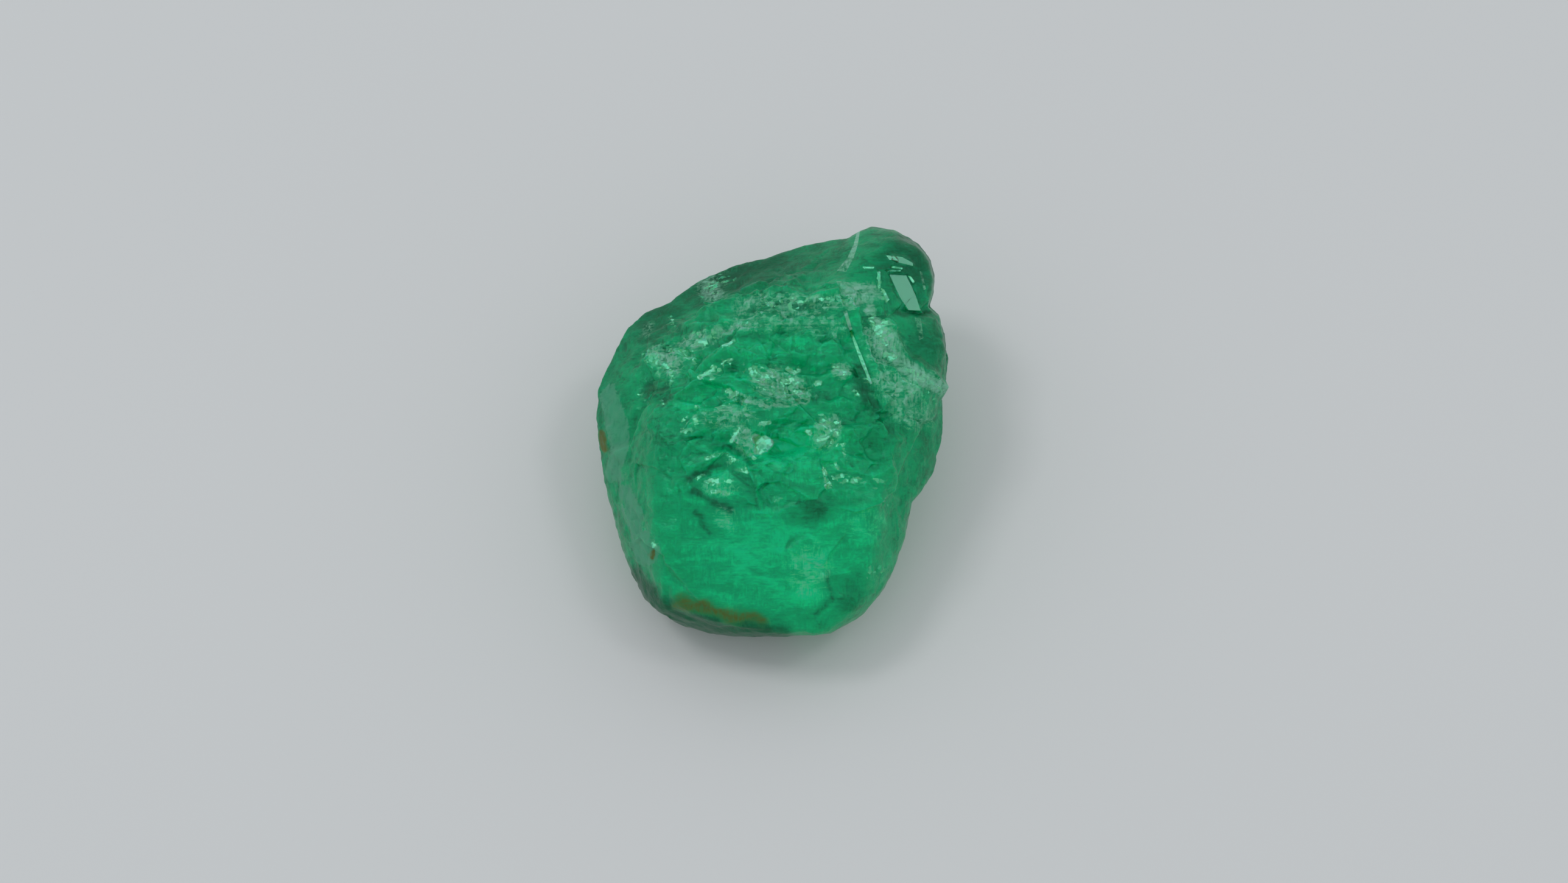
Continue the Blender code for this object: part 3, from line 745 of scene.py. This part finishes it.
def edge_shade(points):
    """Painted shade, deeper where the broad face falls away towards the rim, and a little on the back."""
    height = rim_height(points)
    shade = BACK_SHADE + (EDGE_SHADE - BACK_SHADE) * smooth_step(*BACK_TURN, height)
    return shade * (1.0 - smooth_step(*EDGE_FALL, height))


def look_masks(points):
    """Each mask of the material by its name, over the skin's points."""
    flat = wandered(points)
    return {
        "frost": np.maximum(marks_mask(points, flat, FROSTED), back_frost(points)),
        "wax": marks_mask(points, flat, WAXY),
        "glitter": marks_mask(points, flat, GLITTERING),
        # Painted glow, less painted shade: in the marks, along the rim, towards it and on the back
        "painted_glow_and_shade": (
            marks_mask(points, flat, PAINTED_GLOW, SOFT_CORE) - marks_mask(points, flat, PAINTED_SHADE, DARK_CORE)
            - RIM_SHADE * rim_share(points) - edge_shade(points)
        ),
        "worn": rim_share(points),
        "gleam": marks_mask(points, points[:, :2], GLEAMING, CRISP_CORE),
        "rust": marks_mask(points, flat, STAINED, SOFT_CORE),
        "broken": broken_share(points),
    }


def growth_relief(points):
    """Fine steps, like the edges of a stack of sheets, across the head and down the right side."""
    phase = np.array([GROWTH_WANDER * noise.noise(Vector(point)) for point in points])
    steps = (points[:, 1] + GROWTH_LEAN * points[:, 2] + phase) / GROWTH_PITCH % 1.0
    lined = smooth_step(*GROWTH_HEAD, points[:, 1]) + smooth_step(*GROWTH_RIGHT, points[:, 0])
    return GROWTH_HEIGHT * (steps - 0.5) * np.minimum(lined, 1.0)


def fine_relief(points):
    """The splinters, spalls and growth lines that the solid leaves out. The shelves stay flat."""
    levelled = sum(shelf_share(points, np.array(corners)) for corners, *_ in STEPS.values())
    splintered = CALM_SPLINTERS + (1.0 - CALM_SPLINTERS) * broken_share(points)
    relief = splintered * facet_relief(points, *SPLINTERS)
    glitter = marks_mask(points, points[:, :2], GLITTERING)
    relief += glitter * facet_relief(points, *SPALLS)
    relief += growth_relief(points) + WAX_HEIGHT * swells(points, WAX_SIZE)
    return relief * (1.0 - np.minimum(levelled, 1.0))


def mesh_points(mesh):
    places = np.empty(len(mesh.vertices) * 3)
    mesh.vertices.foreach_get("co", places)
    return places.reshape(-1, 3)


def skin_mesh():
    """A sphere whose points move out to the finely broken surface."""
    ball = bmesh.new()
    bmesh.ops.create_icosphere(ball, subdivisions=SKIN_LEVEL, radius=1.0)
    mesh = bpy.data.meshes.new("gemstone_skin")
    ball.to_mesh(mesh)
    ball.free()
    ways = mesh_points(mesh)
    points = stone_points(ways)
    points += ways * fine_relief(points)[:, None]
    mesh.vertices.foreach_set("co", points.ravel())
    return mesh


def set_masks(mesh):
    for name, values in look_masks(mesh_points(mesh)).items():
        mesh.attributes.new(name, "FLOAT", "POINT").data.foreach_set("value", values)


def chip_faces(body, corners):
    """Cuts a chip's outline into the skin, and gives the faces inside it."""
    corners = [Vector((*corner, 0.0)) for corner in corners]
    middle = sum(corners, Vector()) / len(corners)
    reach = CHIP_REACH + max((corner - middle).length for corner in corners)
    near = [
        face for face in body.faces
        if abs(face.verts[0].co.x - middle.x) < reach and abs(face.verts[0].co.y - middle.y) < reach
        and face.verts[0].co.z + RIM_SINK * max(face.verts[0].co.y, 0.0) > 0.0
    ]
    sides = []
    for start, end in zip(corners, corners[1:] + corners[:1]):
        run = (end - start).normalized()
        sides.append((start, Vector((run.y, -run.x, 0.0))))
    for start, across in sides:
        edges = dict.fromkeys(edge for face in near for edge in face.edges)  # in order, as a set isn't
        verts = dict.fromkeys(vert for face in near for vert in face.verts)
        done = bmesh.ops.bisect_plane(
            body, geom=[*near, *edges, *verts], dist=ON_CUT, plane_co=start, plane_no=across)
        near = [part for part in done["geom"] if isinstance(part, bmesh.types.BMFace)]
    return [
        face for face in near
        if all((face.calc_center_median() - start).dot(across) > 0.0 for start, across in sides)
    ]


def flatten(faces, way):
    """Moves the faces' corners onto one plane that looks this way."""
    verts = dict.fromkeys(vert for face in faces for vert in face.verts)
    middle = sum((vert.co for vert in verts), Vector()) / len(verts)
    for vert in verts:
        vert.co.z -= (vert.co - middle).dot(way) / way.z
    for face in faces:
        face.smooth = False


def cut_chips(body):
    """Cuts the crisp chips into the skin, marks their faces and levels those that mirror a lamp."""
    face_turn = Matrix.Rotation(-FACE_LEAN, 3, "X")
    ways = {"polished": WINDOW_WAY, "glinting": face_turn @ CLEAVAGE}
    for kind, chips in CHIPS.items():
        layer = body.faces.layers.float.new(kind)
        for corners, strength in chips:
            faces = chip_faces(body, corners)
            for face in faces:
                face[layer] = strength
            if kind in ways:
                flatten(faces, ways[kind])


def gemstone():
    """The stone's skin, leant over, cut flat and set down as the solid is. Returns where its middle lies."""
    stone = bpy.data.objects.new("gemstone_skin", skin_mesh())
    bpy.context.collection.objects.link(stone)
    stone.data = decimated(stone, SKIN_SHARE)
    set_masks(stone.data)
    body = bmesh.new()
    body.from_mesh(stone.data)
    for face in body.faces:
        face.smooth = True
    cut_chips(body)
    body.transform(Matrix.Rotation(FACE_LEAN, 4, "X"))
    cut_rest_face(body, -REST_DEPTH)
    corners = np.array([vertex.co for vertex in body.verts])
    middle = (corners.min(axis=0) + corners.max(axis=0)) / 2.0
    shift = Vector((-middle[0], -middle[1], REST_DEPTH))
    body.transform(Matrix.Scale(MM, 4) @ Matrix.Translation(shift))
    body.to_mesh(stone.data)
    body.free()
    stone.data.materials.append(crystal_material())
    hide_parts(NODE)
    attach(stone, "root")
    return shift * MM


class Nodes:
    """Short names for the shader nodes that the materials are made of."""

    def __init__(self, material):
        material.use_nodes = True
        self.tree = material.node_tree
        self.shader = self.tree.nodes["Principled BSDF"]
        self.output = self.tree.nodes["Material Output"]

    def node(self, kind, inputs=(), **settings):
        """A new node with these settings, whose inputs hold plain values or are linked to other sockets."""
        made = self.tree.nodes.new(kind)
        for name, value in settings.items():
            setattr(made, name, value)
        for socket, value in dict(inputs).items():
            self.plug(value, made.inputs[socket])
        return made

    def plug(self, value, socket):
        """Links a socket, or sets a plain value."""
        if isinstance(value, bpy.types.NodeSocket):
            self.tree.links.new(value, socket)
        else:
            socket.default_value = value

    def math(self, operation, *values, clamp=False):
        made = self.node("ShaderNodeMath", enumerate(values), operation=operation, use_clamp=clamp)
        return made.outputs[0]

    def multiply_add(self, vector, factors, added):
        inputs = {0: vector, 1: factors, 2: added}
        return self.node("ShaderNodeVectorMath", inputs, operation="MULTIPLY_ADD").outputs[0]

    def mix(self, share, first, second):
        """A colour between two others."""
        inputs = {"Factor": share, 6: first, 7: second}
        return self.node("ShaderNodeMix", inputs, data_type="RGBA").outputs[2]

    def blend(self, share, first, second):
        """A value between two others."""
        inputs = {0: share, 2: first, 3: second}
        return self.node("ShaderNodeMix", inputs, data_type="FLOAT").outputs[0]

    def step(self, low, high, value):
        """0 below low and 1 above high, with a soft change between them."""
        inputs = {"Value": value, "From Min": low, "From Max": high}
        return self.node("ShaderNodeMapRange", inputs, interpolation_type="SMOOTHSTEP").outputs[0]

    def mask(self, name):
        return self.node("ShaderNodeAttribute", attribute_name=name).outputs["Fac"]

    def face_frame(self):
        """The place on the stone in millimetres, turned back into the face frame."""
        place = self.node("ShaderNodeTexCoord").outputs["Object"]
        inputs = {"Vector": place, "Rotation": (-FACE_LEAN, 0.0, 0.0), "Scale": (1.0 / MM,) * 3}
        return self.node("ShaderNodeMapping", inputs).outputs[0]

    def stretched(self, place, size):
        """The place in units of this width (A, B, C)."""
        inputs = {"Vector": place, "Scale": [1.0 / width for width in size]}
        return self.node("ShaderNodeMapping", inputs).outputs[0]

    def cloud(self, place, size, detail, swirl):
        """Noise around 0, mostly within 0.3 of it, whose blotches have this width (A, B, C)."""
        inputs = {"Vector": self.stretched(place, size), "Scale": 1.0, "Detail": detail, "Distortion": swirl}
        return self.math("SUBTRACT", self.node("ShaderNodeTexNoise", inputs).outputs[0], 0.5)

    def total(self, first, *others):
        """The sum of a value and of others, each with its weight."""
        for value, weight in others:
            first = self.math("MULTIPLY_ADD", value, weight, first)
        return first

    def varied(self, value, textures, weights):
        """The value and the textures together, each texture with its weight."""
        return self.total(value, *((texture, weight) for texture, weight in zip(textures, weights) if weight))

    def ragged(self, mark, textures, weights, edge, entry):
        """How far a mark covers the surface, its edge made ragged by the textures."""
        cover = self.step(*edge, self.varied(mark, textures, weights))
        return self.math("MULTIPLY", cover, self.step(*entry, mark))

    def flecks(self, place, size):
        """A random colour for each of the angular flecks of this width."""
        warp = self.node("ShaderNodeTexNoise", {"Vector": place, "Scale": 1.0 / FLECK_WARP})
        moved = self.multiply_add(warp.outputs["Color"], (FLECK_WARP,) * 3, place)
        cells = self.node("ShaderNodeTexVoronoi", {"Vector": self.stretched(moved, size), "Scale": 1.0})
        return cells.outputs["Color"]

    def cleaved(self, share, scatter):
        """The surface's way of looking, turned towards the cleavage over the share, with some scatter."""
        middle = [0.5 + 0.5 * way - 0.5 * CLEAVAGE_SCATTER for way in CLEAVAGE]
        inputs = {"Strength": share, "Color": self.multiply_add(scatter, (CLEAVAGE_SCATTER,) * 3, middle)}
        return self.node("ShaderNodeNormalMap", inputs, space="OBJECT").outputs[0]


def crystal_textures(nodes, place, shade):
    """Mottling, wisps, grain and the flecks' shades, all around 0."""
    wisps = nodes.blend(
        nodes.step(*WEAVE_EDGE, nodes.cloud(place, *WEAVE)),
        nodes.cloud(place, *WISPS), nodes.cloud(place, *UPRIGHT_WISPS))
    shown = nodes.total(SHADE_SHARES[0], (nodes.mask("broken"), SHADE_SHARES[1]))
    shade = nodes.math("MULTIPLY", nodes.math("SUBTRACT", shade, 0.5), shown)
    return nodes.cloud(place, *MOTTLE), wisps, nodes.cloud(place, *GRAIN), shade


def glinting_flecks(nodes, chance, shade):
    """How strongly each angular fleck glints, where the crystal glitters and a little where it is broken."""
    anywhere, glittering, broken = FLECK_SHARES
    share = nodes.total(anywhere, (nodes.mask("glitter"), glittering), (nodes.mask("broken"), broken))
    lit = nodes.step(*FLECK_EDGE, nodes.math("SUBTRACT", share, chance))
    return nodes.math("MULTIPLY", lit, nodes.total(FLECK_STRENGTHS[0], (shade, FLECK_STRENGTHS[1])))


def crystal_green(nodes, textures):
    """The body's colour, from deep to bright green with its painted glow and shade."""
    painted_glow_and_shade = nodes.mask("painted_glow_and_shade")
    strength = nodes.blend(nodes.step(*DEEP_FALL, painted_glow_and_shade), DEEP_SHARE, 1.0)
    varied = nodes.math("MULTIPLY", nodes.varied(0.0, textures, GREEN_VARIES), strength)
    painted_glow_and_shade = nodes.math("ADD", painted_glow_and_shade, varied)
    green = nodes.mix(nodes.step(*DEEP_TO_MID, painted_glow_and_shade), DEEP_GREEN, MID_GREEN)
    return nodes.mix(nodes.step(*MID_TO_BRIGHT, painted_glow_and_shade), green, BRIGHT_GREEN)


def crystal_roughness(nodes, dull, clean):
    roughness = nodes.total(
        GLASSY_ROUGHNESS,
        (nodes.mask("broken"), BROKEN_ROUGHNESS - GLASSY_ROUGHNESS),
        (nodes.mask("worn"), WORN_ROUGHNESS - GLASSY_ROUGHNESS),
    )
    roughness = nodes.math("MAXIMUM", roughness, nodes.math("MULTIPLY", dull, FROSTED_ROUGHNESS))
    return nodes.blend(clean, roughness, GLINT_ROUGHNESS)


def crystal_material():
    """Green crystal: glassy where it is clean, pale and rough where it is frosted or crushed."""
    material = bpy.data.materials.new("green crystal")
    nodes = Nodes(material)
    place = nodes.face_frame()
    draw = nodes.flecks(place, FLECK_SIZE)
    chance, shade, hue = nodes.node("ShaderNodeSeparateColor", {0: draw}).outputs
    textures = crystal_textures(nodes, place, shade)

    wax = nodes.step(*WAX_EDGE, nodes.varied(nodes.mask("wax"), textures, WAX_VARIES))
    wax = nodes.math("MULTIPLY", wax, nodes.varied(WAX_COVER, textures, WAX_COVER_VARIES), clamp=True)
    pale = nodes.math("MAXIMUM", nodes.mask("frost"), nodes.mask("pale"))
    frost = nodes.ragged(pale, textures, FROST_VARIES, FROST_EDGE, FROST_ENTRY)
    gleam = nodes.math("MAXIMUM", nodes.mask("glinting"), nodes.mask("gleam"))
    gleam = nodes.ragged(gleam, textures, GLEAM_VARIES, GLEAM_EDGE, GLEAM_ENTRY)
    glint = nodes.math("MAXIMUM", glinting_flecks(nodes, chance, shade), gleam)
    rust = nodes.ragged(nodes.mask("rust"), textures, RUST_VARIES, RUST_EDGE, RUST_ENTRY)
    core = nodes.step(*CORE_EDGE, nodes.varied(nodes.mask("rust"), textures, RUST_VARIES))

    colour = crystal_green(nodes, textures)
    for share, shown in (
        (wax, WAX_GREEN),
        (frost, FROST_GREEN),
        # Painted highlight over the glints' real reflection
        (nodes.math("MULTIPLY", glint, GLINT_COVER), nodes.mix(hue, GLINT_GREEN, CREAM_GLINT)),
        # Painted reflection on the polished facets, which also really mirror the ceiling lamp
        (nodes.mask("polished"), WINDOW_REFLECTION_GREEN),
        (rust, nodes.mix(core, RUST, RUST_CORE)),
    ):
        colour = nodes.mix(share, colour, shown)

    dull = nodes.math("MAXIMUM", nodes.math("MAXIMUM", frost, wax), rust)
    clean = nodes.step(*CLEAN_EDGE, nodes.math("MAXIMUM", glint, nodes.mask("polished")))
    bump = nodes.node("ShaderNodeBump", {
        "Strength": nodes.math("SUBTRACT", 1.0, clean),
        "Distance": GRAIN_HEIGHT * MM,
        "Height": nodes.varied(0.0, textures, RELIEF_VARIES),
        "Normal": nodes.cleaved(glint, draw),
    })
    inputs = {"Color": ABSORPTION_COLOUR, "Density": ABSORPTION_PER_METRE}
    absorption = nodes.node("ShaderNodeVolumeAbsorption", inputs)
    nodes.plug(absorption.outputs[0], nodes.output.inputs["Volume"])
    for name, value in (
        ("Base Color", colour),
        ("Roughness", crystal_roughness(nodes, dull, clean)),
        ("Normal", bump.outputs[0]),
        ("IOR", REFRACTIVE_INDEX),
        ("Specular IOR Level", REFLECTION_LEVEL),
        ("Specular Tint", REFLECTION_TINT),
        ("Transmission Weight", SEE_THROUGH),
        ("Subsurface Weight", 1.0),
        ("Subsurface Radius", CLOUD_REACH),
        ("Subsurface Scale", MM),
    ):
        nodes.plug(value, nodes.shader.inputs[name])
    return material


def paper_material():
    material = bpy.data.materials.new("pale paper")
    material.use_nodes = True
    shader = material.node_tree.nodes["Principled BSDF"]
    shader.inputs["Base Color"].default_value = PAPER
    shader.inputs["Roughness"].default_value = PAPER_ROUGHNESS
    return material


def paper_sheet():
    """The pale sheet that the stone lies on."""
    half = MM * PAPER_SIDE / 2.0
    sides = ((-half, -half), (half, -half), (half, half), (-half, half))
    corners = [(x, y, -MM * PAPER_DROP) for x, y in sides]
    mesh = bpy.data.meshes.new("paper_sheet")
    mesh.from_pydata(corners, [], [(0, 1, 2, 3)])
    mesh.materials.append(paper_material())
    sheet = bpy.data.objects.new("paper_sheet", mesh)
    bpy.context.collection.objects.link(sheet)


def aimed(obj, place, target):
    """Puts a camera or a lamp at its place, looking at the target."""
    obj.location = place
    obj.rotation_euler = (target - place).to_track_quat("-Z", "Y").to_euler()
    bpy.context.collection.objects.link(obj)


def camera(stone_middle):
    """Looks straight at the broad face, as far off as the picture's perspective asks."""
    lean = Matrix.Rotation(FACE_LEAN, 3, "X")
    target = stone_middle + MM * (lean @ Vector((*AIM, 0.0)))
    data = bpy.data.cameras.new("camera")
    data.sensor_width = SENSOR_WIDTH
    data.lens = VIEW_LENS
    data.clip_start = MM * NEAREST_SEEN
    view = bpy.data.objects.new("camera", data)
    aimed(view, target + MM * VIEW_DISTANCE * (lean @ Vector((0.0, 0.0, 1.0))), target)
    bpy.context.scene.camera = view


def lamps(stone_middle):
    """Soft square lamps, and an even pale sky for the rest."""
    for name, (way, side, radiance) in LAMPS.items():
        data = bpy.data.lights.new(name, "AREA")
        data.size = MM * side
        data.energy = radiance * math.pi * data.size**2
        place = stone_middle + MM * LAMP_DISTANCE * Vector(way).normalized()
        aimed(bpy.data.objects.new(name, data), place, stone_middle)
    world = bpy.data.worlds.new("sky")
    world.use_nodes = True
    background = world.node_tree.nodes["Background"]
    background.inputs["Color"].default_value = SKY
    background.inputs["Strength"].default_value = SKY_RADIANCE
    bpy.context.scene.world = world


def main():
    bpy.context.scene.view_settings.view_transform = "Standard"
    paper_sheet()
    stone_middle = gemstone()
    camera(stone_middle)
    lamps(stone_middle)


main()
